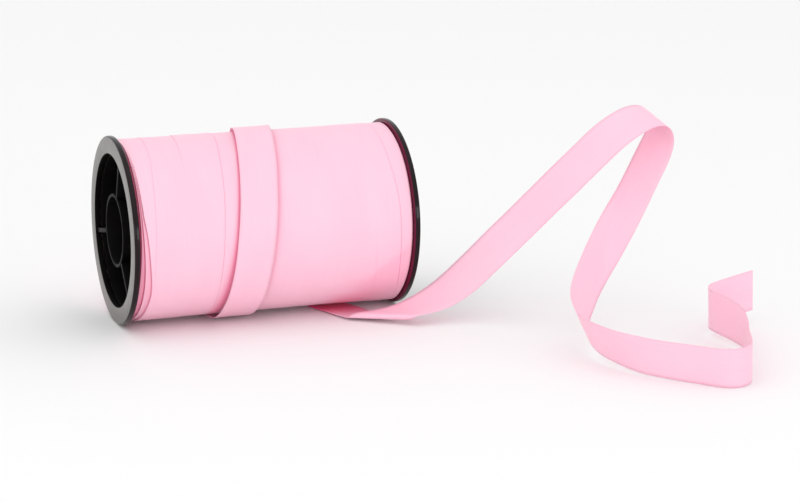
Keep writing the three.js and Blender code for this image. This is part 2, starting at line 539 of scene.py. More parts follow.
@dataclass(frozen=True)
class MouldedPlasticFinish:
    """Black moulded plastic: a fine grain, faint scuffs and a gloss that varies a little."""

    name: str
    roughness: tuple[float, float]
    shine: float = 0.5
    colour: Colour = (0.0015, 0.001, 0.001)
    scuffed: Colour = (0.004, 0.003, 0.003)
    grain_per_metre: float = 1500.0
    grain_depth: float = 0.008
    scuffs_per_metre: float = 120.0
    scuff_run: float = 0.3

    def material(self) -> bpy.types.Material:
        """Builds the material on Object coordinates, in metres.

        Returns:
            The new material.
        """
        tree = NodeTree.new(self.name)
        place = tree.add("TexCoord").outputs["Object"]
        grain = tree.noise(place, self.grain_per_metre, detail=2)
        drawn_out = tree.scaled(place, (self.scuff_run, 1, 1))
        scuffs = tree.noise(drawn_out, self.scuffs_per_metre, detail=4)
        colour = tree.mixed(tree.ranged(scuffs, 0, 1), self.colour, self.scuffed)
        tree.join(colour, tree.shader.inputs["Base Color"])
        tree.join(tree.ranged(scuffs, *self.roughness), tree.shader.inputs["Roughness"])
        tree.bump(grain, self.grain_depth)
        tree.set_inputs(tree.shader, IOR=1.5, Specular_IOR_Level=self.shine)
        return tree.material


@dataclass(frozen=True)
class StudioFloorFinish:
    """Plain pale paper with the faintest tooth."""

    name: str = "pale_paper"
    colour: Colour = (0.93, 0.93, 0.93)
    shade: Colour = (0.91, 0.91, 0.91)
    tooth_per_metre: float = 400.0

    def material(self) -> bpy.types.Material:
        """Builds the material on Object coordinates, in metres.

        Returns:
            The new material.
        """
        tree = NodeTree.new(self.name)
        place = tree.add("TexCoord").outputs["Object"]
        tooth = tree.noise(place, self.tooth_per_metre, detail=3)
        tree.join(tree.mixed(tooth, self.colour, self.shade), tree.shader.inputs["Base Color"])
        tree.set_inputs(tree.shader, Roughness=0.8, Specular_IOR_Level=0.2)
        return tree.material


# The spool


@dataclass
class Spool:
    """Moulded spool: two end rings, the barrel, the hub and the ribs between them."""

    # The end rings
    radius: float = 47.2
    flange_thickness: float = 3.0
    rim_round: float = 1.0
    mouth_radius: float = 38.3
    mouth_round: float = 0.3
    flat_depth: float = 0.2
    glossy_rim: float = 0.8
    # Reach from the side towards the ribbon that gets the painted pink reflection.
    pink_reflection_edge: float = 0.4
    face_tolerance: float = 0.01
    # The barrel, the hub and the ribs
    barrel_wall: float = 1.5
    barrel_gap: float = 0.3
    hub_radius: float = 18.4
    hub_wall: float = 1.5
    recess: float = 1.0
    edge_round: float = 0.35
    rib_count: int = 3
    first_rib_angle: float = -12.0
    rib_at_hub: float = 2.0
    rib_at_barrel: float = 2.5
    # Steps of everything that is turned, and the finishes
    round_steps: int = 240
    # Its base colour is lifted from black to a warm dark grey: partly the plastic's own tone,
    # partly painted reflection of the bright room in the satin face.
    satin: MouldedPlasticFinish = MouldedPlasticFinish(
        "black_plastic_satin",
        roughness=(0.24, 0.32),
        shine=1.0,
        colour=(0.070, 0.057, 0.050),
        scuffed=(0.095, 0.079, 0.071),
    )
    gloss: MouldedPlasticFinish = MouldedPlasticFinish(
        "black_plastic_gloss",
        roughness=(0.08, 0.14),
        shine=0.22,
        colour=(0.006, 0.002, 0.003),
        scuffed=(0.010, 0.003, 0.005),
    )
    # Painted reflection: the side towards the ribbon is tinted deep red for the pink ribbon that it
    # would reflect.
    painted_pink_reflection: MouldedPlasticFinish = MouldedPlasticFinish(
        "black_plastic_painted_pink_reflection",
        roughness=(0.12, 0.20),
        shine=0.15,
        colour=(0.110, 0.003, 0.026),
        scuffed=(0.130, 0.005, 0.034),
    )
    matt: MouldedPlasticFinish = MouldedPlasticFinish(
        "black_plastic_matt", roughness=(0.45, 0.6), shine=0.08
    )
    middle: Array = field(init=False)
    length: float = field(init=False)

    def __post_init__(self) -> None:
        """Takes the spool's middle and length from the end rings in the frame."""
        low, high = np.array(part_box("flange_left")[0]), np.array(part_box("flange_right")[1])
        self.length = (high[0] - low[0]) / MM
        self.middle = (low + high) / 2
        self.middle[2] = high[2] - self.radius * MM

    @property
    def floor(self) -> float:
        """Height of the small flats on which the rims stand, in metres."""
        return self.middle[2] - (self.radius - self.flat_depth) * MM

    @property
    def inner_length(self) -> float:
        """Length between the end rings, less the gap at each, in millimetres."""
        return self.length - 2 * (self.flange_thickness + self.barrel_gap)

    def turned(self, name: str, section: Array) -> bpy.types.Object:
        """Turns a section in millimetres about the spool's axis into a named piece."""
        return turned_object(name, section * MM, self.middle, self.floor, self.round_steps)

    def ring_faces(self, mesh: bpy.types.Mesh, end: End) -> Array:
        """Sorts the faces of an end ring by where their middles lie: the wall of the mouth first,
        then the flat outside within the glossy rim, then the side to the ribbon, and the rim.

        Args:
            mesh: the ring's mesh.
            end: which end of the spool.

        Returns:
            The number of each face's material.
        """
        middles = np.empty(len(mesh.polygons) * 3)
        mesh.polygons.foreach_get("center", middles)
        off = (middles.reshape(-1, 3) - self.middle) / MM
        radius, outward = np.hypot(off[:, 1], off[:, 2]), off[:, 0] * end.value
        within_rim = radius < self.radius - self.glossy_rim
        outside = self.length / 2
        kinds = {
            RingFace.MOUTH: radius < self.mouth_radius + self.mouth_round / 2,
            RingFace.OUTSIDE: within_rim & (outward > outside - self.face_tolerance),
            RingFace.TO_RIBBON: outward < outside - self.flange_thickness + self.pink_reflection_edge,
        }
        numbers = [kind.value for kind in kinds]
        return np.select(list(kinds.values()), numbers, RingFace.RIM.value).astype(np.int32)

    def build_flange(self, end: End, node: str) -> bpy.types.Object:
        """Builds an end ring: its outer face satin, its rim glossy, the wall of its mouth matt, and
        its side to the ribbon in a deep red, a painted reflection of the pink ribbon.

        Args:
            end: which end of the spool.
            node: the solid that the piece stands for.

        Returns:
            The finished piece.
        """
        outside = self.length / 2
        section = rounded_section(
            (outside - self.flange_thickness, outside),
            (self.mouth_radius, self.radius),
            rounds=(self.mouth_round, self.rim_round),
            steps=(4, 10),
        )
        piece = self.turned(f"spool_{node}", section * (end.value, 1))
        finishes = {
            RingFace.OUTSIDE: self.satin,
            RingFace.RIM: self.gloss,
            RingFace.MOUTH: self.matt,
            RingFace.TO_RIBBON: self.painted_pink_reflection,
        }
        dress(piece, Slot.PLASTIC, *(finishes[face].material() for face in RingFace))
        piece.data.polygons.foreach_set("material_index", self.ring_faces(piece.data, end))
        return self.finish(piece, node)

    def finish(self, piece: bpy.types.Object, node: str) -> bpy.types.Object:
        """Sets a piece in the place of its solid.

        Args:
            piece: the dressed piece.
            node: the solid that the piece stands for.

        Returns:
            The piece itself.
        """
        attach(piece, "root")
        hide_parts(node)
        report(piece)
        return piece

    def build_tubes(self) -> None:
        """Builds the barrel, which the ribbon is wound on, and the hub."""
        tubes = (
            ("barrel", self.mouth_radius, self.barrel_wall, self.inner_length),
            ("hub", self.hub_radius - self.hub_wall, self.hub_wall, self.length - 2 * self.recess),
        )
        for node, inner, wall, length in tubes:
            section = rounded_section(
                (-length / 2, length / 2),
                (inner, inner + wall),
                rounds=(self.edge_round, self.edge_round),
                steps=(4, 4),
            )
            piece = self.turned(f"spool_{node}", section)
            dress(piece, Slot.PLASTIC, self.matt.material())
            self.finish(piece, node)

    def rib_grid(self, angle: float) -> Array:
        """Points of a rib, a tapered bar with rounded edges. Its section is a rounded trapezium,
        four arcs about the corners of a smaller one. The arcs keep their centres along the bar
        and shrink like a quarter circle at both of its ends.

        Args:
            angle: degrees from +Y towards +Z at which the rib stands.

        Returns:
            Points in metres, of shape (rows, columns, 3).
        """
        edge = self.edge_round
        inner = self.hub_radius + self.barrel_gap + edge
        outer = self.mouth_radius - self.barrel_gap - edge
        thin, thick = self.rib_at_hub / 2 - edge, self.rib_at_barrel / 2 - edge
        corners = ((outer, thick), (inner, thin), (inner, -thin), (outer, -thick))
        # The rings at an end start a little up the quarter circle, round a small flat face.
        rise = np.radians(np.linspace(10, 90, 5))
        end = self.length / 2 - self.recess - edge
        along = np.concatenate([-end - edge * np.cos(rise), (end + edge * np.cos(rise))[::-1]])
        rounds = edge * np.concatenate([np.sin(rise), np.sin(rise)[::-1]])
        starts = range(0, 360, 90)
        rings = [
            np.concatenate([arc(at, size, a, a + 90, 4) for at, a in zip(corners, starts)])
            for size in rounds
        ]
        reach, across = np.moveaxis(np.array(rings), -1, 0)
        turn = math.radians(angle)
        y = reach * math.cos(turn) - across * math.sin(turn)
        z = reach * math.sin(turn) + across * math.cos(turn)
        return MM * np.stack([np.broadcast_to(along[:, None], y.shape), y, z], -1) + self.middle

    def build_ribs(self) -> None:
        """Builds the ribs, evenly round the hub."""
        for index in range(self.rib_count):
            grid = self.rib_grid(self.first_rib_angle + 360 / self.rib_count * index)
            piece = ring_grid_object(f"spool_rib_{index + 1}", grid, wrap_rows=False)
            dress(piece, Slot.PLASTIC, self.matt.material())
            self.finish(piece, f"rib_{index + 1}")

    def build(self) -> None:
        """Builds and dresses the whole spool."""
        self.build_flange(End.LEFT, "flange_left")
        self.build_flange(End.RIGHT, "flange_right")
        self.build_tubes()
        self.build_ribs()


# The ribbon


@dataclass(frozen=True)
class EdgeRow:
    """One place on a turn's edge. turn: degrees round the roll, x: millimetres from the middle of
    the spool, step: millimetres by which the roll is higher to the right of the edge there."""

    turn: float
    x: float
    step: float


@dataclass(frozen=True)
class TurnEdge:
    """Edge of one turn of ribbon that shows on the roll. It fades out at both of its ends."""

    name: str
    rows: tuple[EdgeRow, ...]

    def x_at(self, turn: Array) -> Array:
        """Places along the roll, in millimetres, at the given turns."""
        return curve_through([row.turn for row in self.rows], [row.x for row in self.rows], turn)

    def step_at(self, turn: Array) -> Array:
        """Heights of the step, in millimetres, at the given turns."""
        return curve_through([row.turn for row in self.rows], [row.step for row in self.rows], turn)


TURN_EDGES = (
    TurnEdge("left end of the roll", (
        EdgeRow(0, -69.1, 0.9), EdgeRow(70, -69.0, 1.0), EdgeRow(100, -68.6, 1.6),
        EdgeRow(150, -68.6, 1.6), EdgeRow(190, -69.1, 1.0), EdgeRow(360, -69.1, 0.9),
    )),
    TurnEdge("lower turns beside the left ring", (
        EdgeRow(-20, -68.4, 0.0), EdgeRow(20, -67.2, 0.8), EdgeRow(60, -66.6, 0.9),
        EdgeRow(100, -67.6, 0.7), EdgeRow(140, -68.1, 0.3), EdgeRow(170, -68.4, 0.0),
    )),
    TurnEdge("left edge of the top turn", (
        EdgeRow(-20, -67.0, 0.0), EdgeRow(28, -64.6, 1.2), EdgeRow(46, -63.6, 1.3),
        EdgeRow(59, -63.1, 1.3), EdgeRow(81, -64.6, 1.2), EdgeRow(98, -65.8, 1.1),
        EdgeRow(111, -67.0, 1.0), EdgeRow(142, -67.6, 0.4), EdgeRow(170, -68.0, 0.0),
    )),
    TurnEdge("turn that runs in at the left", (
        EdgeRow(40, -61.6, 0.0), EdgeRow(73, -62.2, 0.10), EdgeRow(92, -61.7, 0.14),
        EdgeRow(108, -61.2, 0.16), EdgeRow(129, -60.2, 0.16), EdgeRow(153, -58.3, 0.16),
        EdgeRow(178, -57.4, 0.18), EdgeRow(230, -55.6, 0.12), EdgeRow(330, -53.0, 0.0),
    )),
    TurnEdge("crossing turn, left edge", (
        EdgeRow(100, -46.0, 0.0), EdgeRow(140, -43.4, 0.05), EdgeRow(167, -41.9, 0.22),
        EdgeRow(191, -40.2, 0.32), EdgeRow(240, -37.0, 0.20), EdgeRow(340, -32.0, 0.0),
    )),
    TurnEdge("crossing turn, right edge", (
        EdgeRow(10, -29.6, 0.0), EdgeRow(48, -29.3, -0.24), EdgeRow(67, -28.7, -0.30),
        EdgeRow(85, -28.0, -0.32), EdgeRow(103, -27.1, -0.32), EdgeRow(125, -25.6, -0.30),
        EdgeRow(145, -24.2, -0.30), EdgeRow(176, -21.3, -0.30), EdgeRow(240, -17.5, -0.20),
        EdgeRow(340, -12.0, 0.0),
    )),
    TurnEdge("short line at the right", (
        EdgeRow(10, 54.2, 0.0), EdgeRow(35, 53.1, -0.10), EdgeRow(73, 50.9, -0.10),
        EdgeRow(86, 50.7, -0.06), EdgeRow(110, 50.6, 0.0),
    )),
    TurnEdge("right edge of the last full turn", (
        EdgeRow(10, 66.6, 0.0), EdgeRow(41, 65.4, -0.26), EdgeRow(65, 63.8, -0.32),
        EdgeRow(87, 63.2, -0.34), EdgeRow(106, 62.9, -0.34), EdgeRow(120, 62.2, -0.32),
        EdgeRow(136, 61.3, -0.28), EdgeRow(157, 60.9, -0.22), EdgeRow(220, 59.6, -0.16),
        EdgeRow(340, 56.0, 0.0),
    )),
    TurnEdge("right end of the roll", (
        EdgeRow(0, 69.0, -0.9), EdgeRow(360, 69.0, -0.9),
    )),
)


@dataclass
class RibbonStock:
    """The ribbon itself, before it is wound: its width and thickness in millimetres."""

    width: float = 19.0
    thickness: float = 0.2
    finish: SatinRibbonFinish = SatinRibbonFinish("pink_satin_ribbon")


@dataclass(frozen=True)
class Wave:
    """One slow wave in the roll's surface. Its height at the turn a and the place x along the roll
    is height * sin(around * a + along * x + start + sway * sin(2 a)), in millimetres."""

    height: float
    around: int
    along: float
    start: float = 0.0
    sway: float = 0.0

    def at(self, x: Array, angle: Array) -> Array:
        """Heights of the wave at places in millimetres and turns in radians."""
        phase = self.around * angle + self.along * x + self.start
        return self.height * np.sin(phase + self.sway * np.sin(2 * angle))


@dataclass
class Winding:
    """The wound ribbon: a thick tube on the barrel whose outside follows the turns' edges."""

    spool: Spool
    stock: RibbonStock
    under: "LooseEnd"
    # Its form
    radius: float = 45.3
    end_swell: float = 0.35
    swell_reach: float = 0.3
    edges: tuple[TurnEdge, ...] = TURN_EDGES
    edge_width: float = 0.05
    groove_depth: float = 0.7
    groove_width: float = 0.16
    groove_step: float = 0.4
    waves: tuple[Wave, ...] = (
        Wave(0.05, around=3, along=0.11),
        Wave(0.03, around=7, along=-0.23, start=1.3),
        Wave(0.025, around=0, along=0.55, sway=2.0),
    )
    # The rows and columns of its mesh
    turn_step: float = 1.0
    near_edge: tuple[float, ...] = (0.05, 0.14, 0.35, 0.8, 1.5, 2.6, 4.2)
    crowding: float = 2.4
    least_apart: float = 0.5
    columns_between: int = 4
    columns_return: tuple[float, float] = (290.0, 360.0)
    # The shares of its painted shade and painted shadows: reaches and depths in millimetres, turns
    # in degrees
    gap_depth: tuple[float, float] = (0.3, 2.4)
    gap_share: float = 0.5
    foot_reach: float = 0.35
    foot_share: float = 0.3
    foot_step: float = 0.8
    left_reach: tuple[float, float] = (0.8, 5.4)
    left_turns: tuple[float, float] = (170.0, 35.0)
    left_share: float = 0.55
    right_reach: float = 2.9
    right_share: float = 0.30
    beside_fades: tuple[float, float] = (290.0, 340.0)
    bell_falloff: float = 2.5
    tuck: float = 1.0
    # Painted shadow that the free end casts on the lower right of the roll, past this line of turns
    # and places.
    lower_line: tuple[tuple[float, float], ...] = (
        (0, 22.0), (22, 29.5), (39, 37.9), (64, 53.7), (86, 69.6),
    )
    lower_blur: tuple[float, float] = (-2.0, 3.0)
    lower_fades: tuple[float, float] = (80.0, 100.0)
    lower_share: float = 0.13

    def column_places(self, turn: Array) -> Array:
        """Places of the mesh's columns along the roll. They run along the turns' edges and under
        the last turn's, some close beside each edge and the rest evenly between two edges. The
        columns under the last turn's edges come back to their start behind the roll.

        Args:
            turn: turns in degrees, of shape (rows,).

        Returns:
            Places in millimetres, of shape (rows, columns), rising along each row.
        """
        half = self.spool.inner_length / 2
        lines = [np.full_like(turn, -half)]
        back = smoothstep(*self.columns_return, turn)
        own = [edge.x_at(turn) for edge in self.edges]
        over = [at * (1 - back) + at[0] * back for at in self.under.turn_edges(turn)]
        for at in sorted(own + over, key=lambda line: line[0]):
            lines.append(np.maximum(at, lines[-1] + self.least_apart))
        lines.append(np.full_like(turn, half))
        near = np.array(self.near_edge)
        columns = [lines[0][:, None]]
        for start, end in zip(lines, lines[1:]):
            width = (end - start)[:, None]
            offsets = near * np.minimum(1.0, width / (self.crowding * near[-1]))
            first, last = start[:, None] + offsets, end[:, None] - offsets[:, ::-1]
            share = np.linspace(0, 1, self.columns_between + 2)[1:-1]
            between = first[:, -1:] * (1 - share) + last[:, :1] * share
            columns += [first, between, last]
        columns.append(lines[-1][:, None])
        return np.concatenate(columns, axis=1)

    def radius_at(self, x: Array, turn: Array) -> Array:
        """Radius of the roll: the wound radius, plus a swell towards both ends, less each step to
        the left of an edge whose right side is higher, or to the right of one whose left side is,
        less a narrow groove that follows the foot of the edge, plus the slow waves.

        Args:
            x: places in millimetres, of shape (rows, columns).
            turn: turns in degrees, of shape (rows,).

        Returns:
            Radii in millimetres, of x's shape.
        """
        length = self.spool.inner_length
        from_end = 0.5 - np.abs(x) / length
        radius = self.radius + self.end_swell * (1 - smoothstep(0, self.swell_reach, from_end))
        for edge in self.edges:
            past = x - edge.x_at(turn)[:, None]
            right = smoothstep(-self.edge_width, self.edge_width, past)
            step = edge.step_at(turn)[:, None]
            radius -= np.where(step > 0, step * (1 - right), -step * right)
            foot = (past + np.sign(step) * self.groove_width / 2) / self.groove_width
            depth = self.groove_depth * np.minimum(np.abs(step), self.groove_step)
            radius -= depth * np.exp(-((2 * foot) ** 2))
        angle = np.radians(turn)[:, None]
        return radius + sum(wave.at(x, angle) for wave in self.waves)

    def painted_shade_at(self, x: Array, turn: Array, radius: Array) -> Array:
        """Share of painted shade at each place: a share for its depth below the roll's own radius,
        a share close to the foot of a step, the painted shadows beside the last turn, and a painted
        shadow at the lower right, cast by the free end, past a line on the roll.

        Args:
            x: places in millimetres, of shape (rows, columns).
            turn: turns in degrees, of shape (rows,).
            radius: radii in millimetres, of x's shape.

        Returns:
            Shares from 0 to 1, of x's shape.
        """
        share = self.gap_share * smoothstep(*self.gap_depth, self.radius - radius)
        for edge in self.edges:
            step = edge.step_at(turn)[:, None]
            off = np.sign(-step) * (x - edge.x_at(turn)[:, None])
            foot = np.where(off > 0, np.exp(-((off / self.foot_reach) ** 2)), 0.0)
            share += self.foot_share * np.minimum(np.abs(step), self.foot_step) * foot
        share += self.painted_shadow_beside(x, turn)
        past = x - curve_through(*zip(*self.lower_line), turn)[:, None]
        lower = 1 - smoothstep(*self.lower_fades, turn)[:, None]
        share += self.lower_share * smoothstep(*self.lower_blur, past) * lower
        return np.clip(share, 0, 1)

    def painted_shadow_beside(self, x: Array, turn: Array) -> Array:
        """Shares of painted shadow beside the last turn, which stands off the roll. They fall off
        like a bell, exp(-c (off / reach)^2), from its edges, where they start a little way under
        it. On its left the reach grows downwards over the front with the square of the turn. Behind
        the roll they fade out.

        Args:
            x: places in millimetres, of shape (rows, columns).
            turn: turns in degrees, of shape (rows,).

        Returns:
            Shares of x's shape.
        """
        left, right = (edge[:, None] for edge in self.under.turn_edges(turn))
        (least, most), (top, bottom) = self.left_reach, self.left_turns
        down = np.clip((top - turn) / (top - bottom), 0, 1)[:, None]
        sides = (
            (left - x, least + (most - least) * down**2, self.left_share),
            (x - right, self.right_reach, self.right_share),
        )
        share = np.zeros_like(x)
        for off, reach, full_share in sides:
            bell = np.exp(-self.bell_falloff * (np.maximum(off, 0) / reach) ** 2)
            share += full_share * bell * (off > -self.tuck)
        return share * (1 - smoothstep(*self.beside_fades, turn))[:, None]

    def build(self) -> bpy.types.Object:
        """Builds the winding as a closed tube: its outside on the grid of columns and turns, its
        inside at the barrel.

        Returns:
            The finished piece.
        """
        turn = np.arange(0.0, 360.0, self.turn_step)
        x = self.column_places(turn)
        radius = self.radius_at(x, turn)
        # Painted shade and painted shadows, none on the two inside columns.
        painted_shade = np.pad(self.painted_shade_at(x, turn, radius), ((0, 0), (0, 2)))
        inner = self.spool.mouth_radius + self.spool.barrel_wall + self.spool.barrel_gap
        inside = np.full((len(turn), 2), inner)
        x = np.concatenate([x, x[:, [-1, 0]]], axis=1)
        radius = np.concatenate([radius, inside], axis=1)
        angle = np.radians(turn)[:, None]
        grid = np.stack([x, -radius * np.sin(angle), -radius * np.cos(angle)], -1)
        grid = MM * grid + self.spool.middle
        around = np.radians(np.append(turn, 360.0))[:, None] * self.radius
        across = np.pad(x, ((0, 1), (0, 1)), mode="wrap")
        uv = MM * np.stack([across, np.broadcast_to(around, across.shape)], -1)
        piece = ring_grid_object("ribbon_roll", grid, wrap_rows=True, uv=uv, painted_shade=painted_shade)
        dress(piece, Slot.RIBBON, self.stock.finish.material())
        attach(piece, "root")
        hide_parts("ribbon_winding")
        report(piece)
        return piece


@dataclass(frozen=True)
class LiftRow:
    """How far, in millimetres, the last turn stands off the roll at one turn, in degrees."""

    turn: float
    lift: float


@dataclass(frozen=True)
class Bend:
    """One bend of the free end. at: millimetres along its middle line from where it leaves the
    roll, over: length that the bend spreads over, turn: degrees, towards the inner face if
    positive, slant: degrees between the line of the bend and straight across the ribbon."""

    name: str
    at: float
    over: float
    turn: float
    slant: float


LIFTS = (
    LiftRow(-40, 0.12), LiftRow(0, 0.45), LiftRow(22, 1.7), LiftRow(50, 1.9), LiftRow(95, 0.9),
    LiftRow(140, 0.9), LiftRow(180, 1.4), LiftRow(240, 0.8), LiftRow(300, 0.6), LiftRow(360, 0.45),
)

BENDS = (
    Bend("leaves the roll", at=25, over=28, turn=4, slant=-18),
    Bend("folds over on the table", at=50, over=12, turn=178, slant=-57),
    Bend("rises", at=77, over=78, turn=-79, slant=-41),
    Bend("leans over", at=209, over=44, turn=41, slant=-24),
    Bend("top of the arch", at=234, over=51, turn=150, slant=-7),
    Bend("swings forward", at=299, over=59, turn=71, slant=-59),
    Bend("comes down on its edge", at=353, over=69, turn=71, slant=-17),
    Bend("runs to the right", at=394, over=73, turn=32, slant=-34),
    Bend("loop at the right", at=451, over=38, turn=114.3, slant=-2),
    Bend("comes back", at=520, over=48, turn=36.8, slant=21),
    Bend("short bend behind", at=554.3, over=37, turn=-106.7, slant=16.6),
)


@dataclass
class LooseEnd:
    """The last, loose turn and the free end, one length of ribbon. It is a row of lines across the
    ribbon; each line has its middle, the half of it towards the left edge, and the way out."""

    spool: Spool
    stock: RibbonStock
    roll_radius: float = 45.3
    solid_thickness: float = 1.0
    start_x: float = -17.5
    exit_x: float = 36.5
    exit_lean: float = 18.0
    first_turn: float = -40.0
    turn_step: float = 1.5
    free_length: float = 582.0
    bends: tuple[Bend, ...] = BENDS
    lifts: tuple[LiftRow, ...] = LIFTS
    # The lines and points of its mesh
    longest_step: float = 2.4
    shortest_step: float = 0.4
    fold_step: float = 8.0
    finer: int = 3
    across_steps: int = 10
    # Its slow waves
    ripple: float = 0.14
    ripple_length: float = 41.0
    cup_share: float = 0.6
    cups_per_ripple: float = 1.7
    cup_start: float = 1.0
    # The shares of its painted shade, over lengths of ribbon in millimetres
    start_shade: tuple[float, float] = (28.0, 44.0)
    start_share: float = 0.8
    shade_under: tuple[float, float] = (-60.0, -20.0)
    shade_ahead: tuple[float, float] = (8.0, 34.0)

    @property
    def exit_radius(self) -> float:
        """Radius at which the ribbon leaves the roll, in millimetres."""
        return float(self.turn_radius(np.array([360.0]))[0])

    def turn_radius(self, turn: Array) -> Array:
        """Radii of the last turn's middle layer, eased from row to row of its table of lifts.

        Args:
            turn: turns in degrees, of shape (lines,).

        Returns:
            Radii in millimetres, of shape (lines,).
        """
        places = np.array([row.turn for row in self.lifts])
        lifts = np.array([row.lift for row in self.lifts])
        k = np.clip(np.searchsorted(places, turn) - 1, 0, len(places) - 2)
        share = (turn - places[k]) / (places[k + 1] - places[k])
        lift = lifts[k] + (lifts[k + 1] - lifts[k]) * smoothstep(0, 1, share)
        return self.roll_radius + lift + self.solid_thickness / 2

    def turn_drift(self, turn: Array) -> tuple[Array, Array]:
        """Place of the last turn's middle along the roll, and half of the length that it covers
        there. The middle drifts to the right by first * a + gathering * a^2 for the angle a, the
        square only where a is over 0, so that it leaves the roll where and at the lean at which
        the free end starts.

        Args:
            turn: turns in degrees, of shape (lines,).

        Returns:
            Places and half lengths in millimetres, each of shape (lines,).
        """
        whole = 2 * math.pi
        exit_drift = self.exit_radius * math.tan(math.radians(self.exit_lean))
        gathering = (exit_drift * whole - (self.exit_x - self.start_x)) / whole**2
        first = exit_drift - 2 * gathering * whole
        angle = np.radians(turn)
        drift = first + 2 * gathering * angle
        middle = self.start_x + first * angle + gathering * angle**2 * (angle > 0)
        return middle, self.stock.width / 2 * np.hypot(1, drift / self.turn_radius(turn))

    def turn_edges(self, turn: Array) -> tuple[Array, Array]:
        """Places of the last turn's left and right edges along the roll, in millimetres."""
        middle, half = self.turn_drift(turn)
        return middle - half, middle + half

    def turn_lines(self) -> tuple[Array, Array, Array]:
        """Lines of the last turn: each lies along X, square to the way out.

        Returns:
            Middles, halves and ways out, each of shape (lines, 3), in millimetres.
        """
        turn = np.arange(self.first_turn, 360.0, self.turn_step)
        angle = np.radians(turn)
        out = np.stack([np.zeros_like(angle), -np.sin(angle), -np.cos(angle)], -1)
        middle = out * self.turn_radius(turn)[:, None]
        half = np.zeros_like(middle)
        middle[:, 0], half[:, 0] = self.turn_drift(turn)
        return middle, -half, out

    def turned_before(self, place: Array) -> Array:
        """How far each bend has turned before each place: its turn times
        (t + 1/2 + sin(2 pi t) / (2 pi)), with t the place from the bend's middle as a share of its
        spread, kept in -1/2..1/2.

        Args:
            place: places along the free end in millimetres, of shape (places,).

        Returns:
            Degrees, of shape (places, bends).
        """
        at, over, turn = np.array([(bend.at, bend.over, bend.turn) for bend in self.bends]).T
        t = np.clip((place[:, None] - at) / over, -0.5, 0.5)
        return (t + 0.5 + np.sin(2 * math.pi * t) / (2 * math.pi)) * turn

    def free_places(self) -> Array:
        """Places of the fold lines along the free end. Each step is so long that the bending in
        the length ahead comes to the fold step, between the shortest and the longest step.

        Returns:
            Places in millimetres, of shape (lines,).
        """
        places = [0.0]
        while places[-1] < self.free_length:
            here = places[-1] + np.array([0.0, self.longest_step])
            bent = np.abs(np.diff(self.turned_before(here), axis=0)).sum()
            wanted = self.longest_step * self.fold_step / max(bent, self.fold_step)
            places.append(min(here[0] + max(wanted, self.shortest_step), self.free_length))
        return np.array(places)

    def free_lines(self) -> tuple[Array, Array, Array]:
        """Lines of the free end. The ribbon stays flat between two lines and folds at each one
        about that line, so every step is the frame before it turned by the fold, and the middle
        moves on by the length of the step. Its width and length are those of a flat ribbon. At
        last, smooth curves through these lines give finer ones between them.

        Returns:
            Middles, halves and ways out, each of shape (lines, 3), in millimetres.
        """
        place = self.free_places()
        between = np.concatenate([place[:1], (place[1:] + place[:-1]) / 2, place[-1:]])
        fold = np.radians(np.diff(self.turned_before(between).sum(1)))
        slants = np.tan(np.radians([-self.exit_lean] + [bend.slant for bend in self.bends]))
        tangent = np.interp(place, [0.0] + [bend.at for bend in self.bends], slants)
        line = np.stack([tangent, np.ones_like(tangent), np.zeros_like(tangent)], -1)
        heading = math.radians(self.exit_lean - 90)
        forward = np.array([math.cos(heading), math.sin(heading), 0.0])
        out = np.array([0.0, 0.0, -1.0])
        start = np.stack([forward, np.cross(out, forward), out], -1)
        turns = turning(line, fold)
        frames = np.array(list(itertools.accumulate([start, *turns], np.matmul)))
        half_turned = frames[:-1] @ turning(line, fold / 2)
        step = np.diff(place)[:, None] * frames[1:-1, :, 0]
        origin = np.array([self.exit_x, 0.0, -self.exit_radius])
        middle = origin + np.concatenate([np.zeros((1, 3)), np.cumsum(step, axis=0)])
        half = (frames[:-1] @ line[:, :, None])[:, :, 0] * self.stock.width / 2
        steps = np.arange(len(place))
        finer = np.interp(np.linspace(0, steps[-1], steps[-1] * self.finer + 1), steps, place)
        rough = (middle, half, half_turned[:, :, 2])
        middle, half, out = (curve_through(place, rows, finer) for rows in rough)
        return middle, half, out / np.linalg.norm(out, axis=1, keepdims=True)

    def section(self, gone: Array) -> tuple[Array, Array]:
        """Section of the ribbon, once round it: shares from 1 to -1 across its outer face, and
        back on its inner one. It is a little uneven: it twists and cups in slow waves.

        Args:
            gone: length of ribbon before each line, in millimetres, of shape (lines,).

        Returns:
            The shares across, of shape (points,), and the heights over the middle layer in
            millimetres, of shape (lines, points).
        """
        share = np.linspace(1, -1, self.across_steps + 1)
        across = np.concatenate([share, share[::-1]])
        side = np.repeat([0.5, -0.5], len(share)) * self.stock.thickness
        wave = 2 * math.pi * gone[:, None] / self.ripple_length
        twist = across * np.sin(wave)
        cup = self.cup_share * across**2 * np.sin(self.cups_per_ripple * wave + self.cup_start)
        return across, side + self.ripple * (twist + cup)

    def painted_shade_at(self, gone: Array, leaves: float) -> Array:
        """Share of painted shade on each line: at the start of the strip, tucked under its own end,
        and under the roll, on both sides of the place where the ribbon leaves it.

        Args:
            gone: length of ribbon before each line, in millimetres, of shape (lines,).
            leaves: length of ribbon before the place where it leaves the roll.

        Returns:
            Shares, of shape (lines,).
        """
        ahead = gone - leaves
        under = smoothstep(*self.shade_under, ahead) * (1 - smoothstep(*self.shade_ahead, ahead))
        return under + self.start_share * (1 - smoothstep(*self.start_shade, gone))

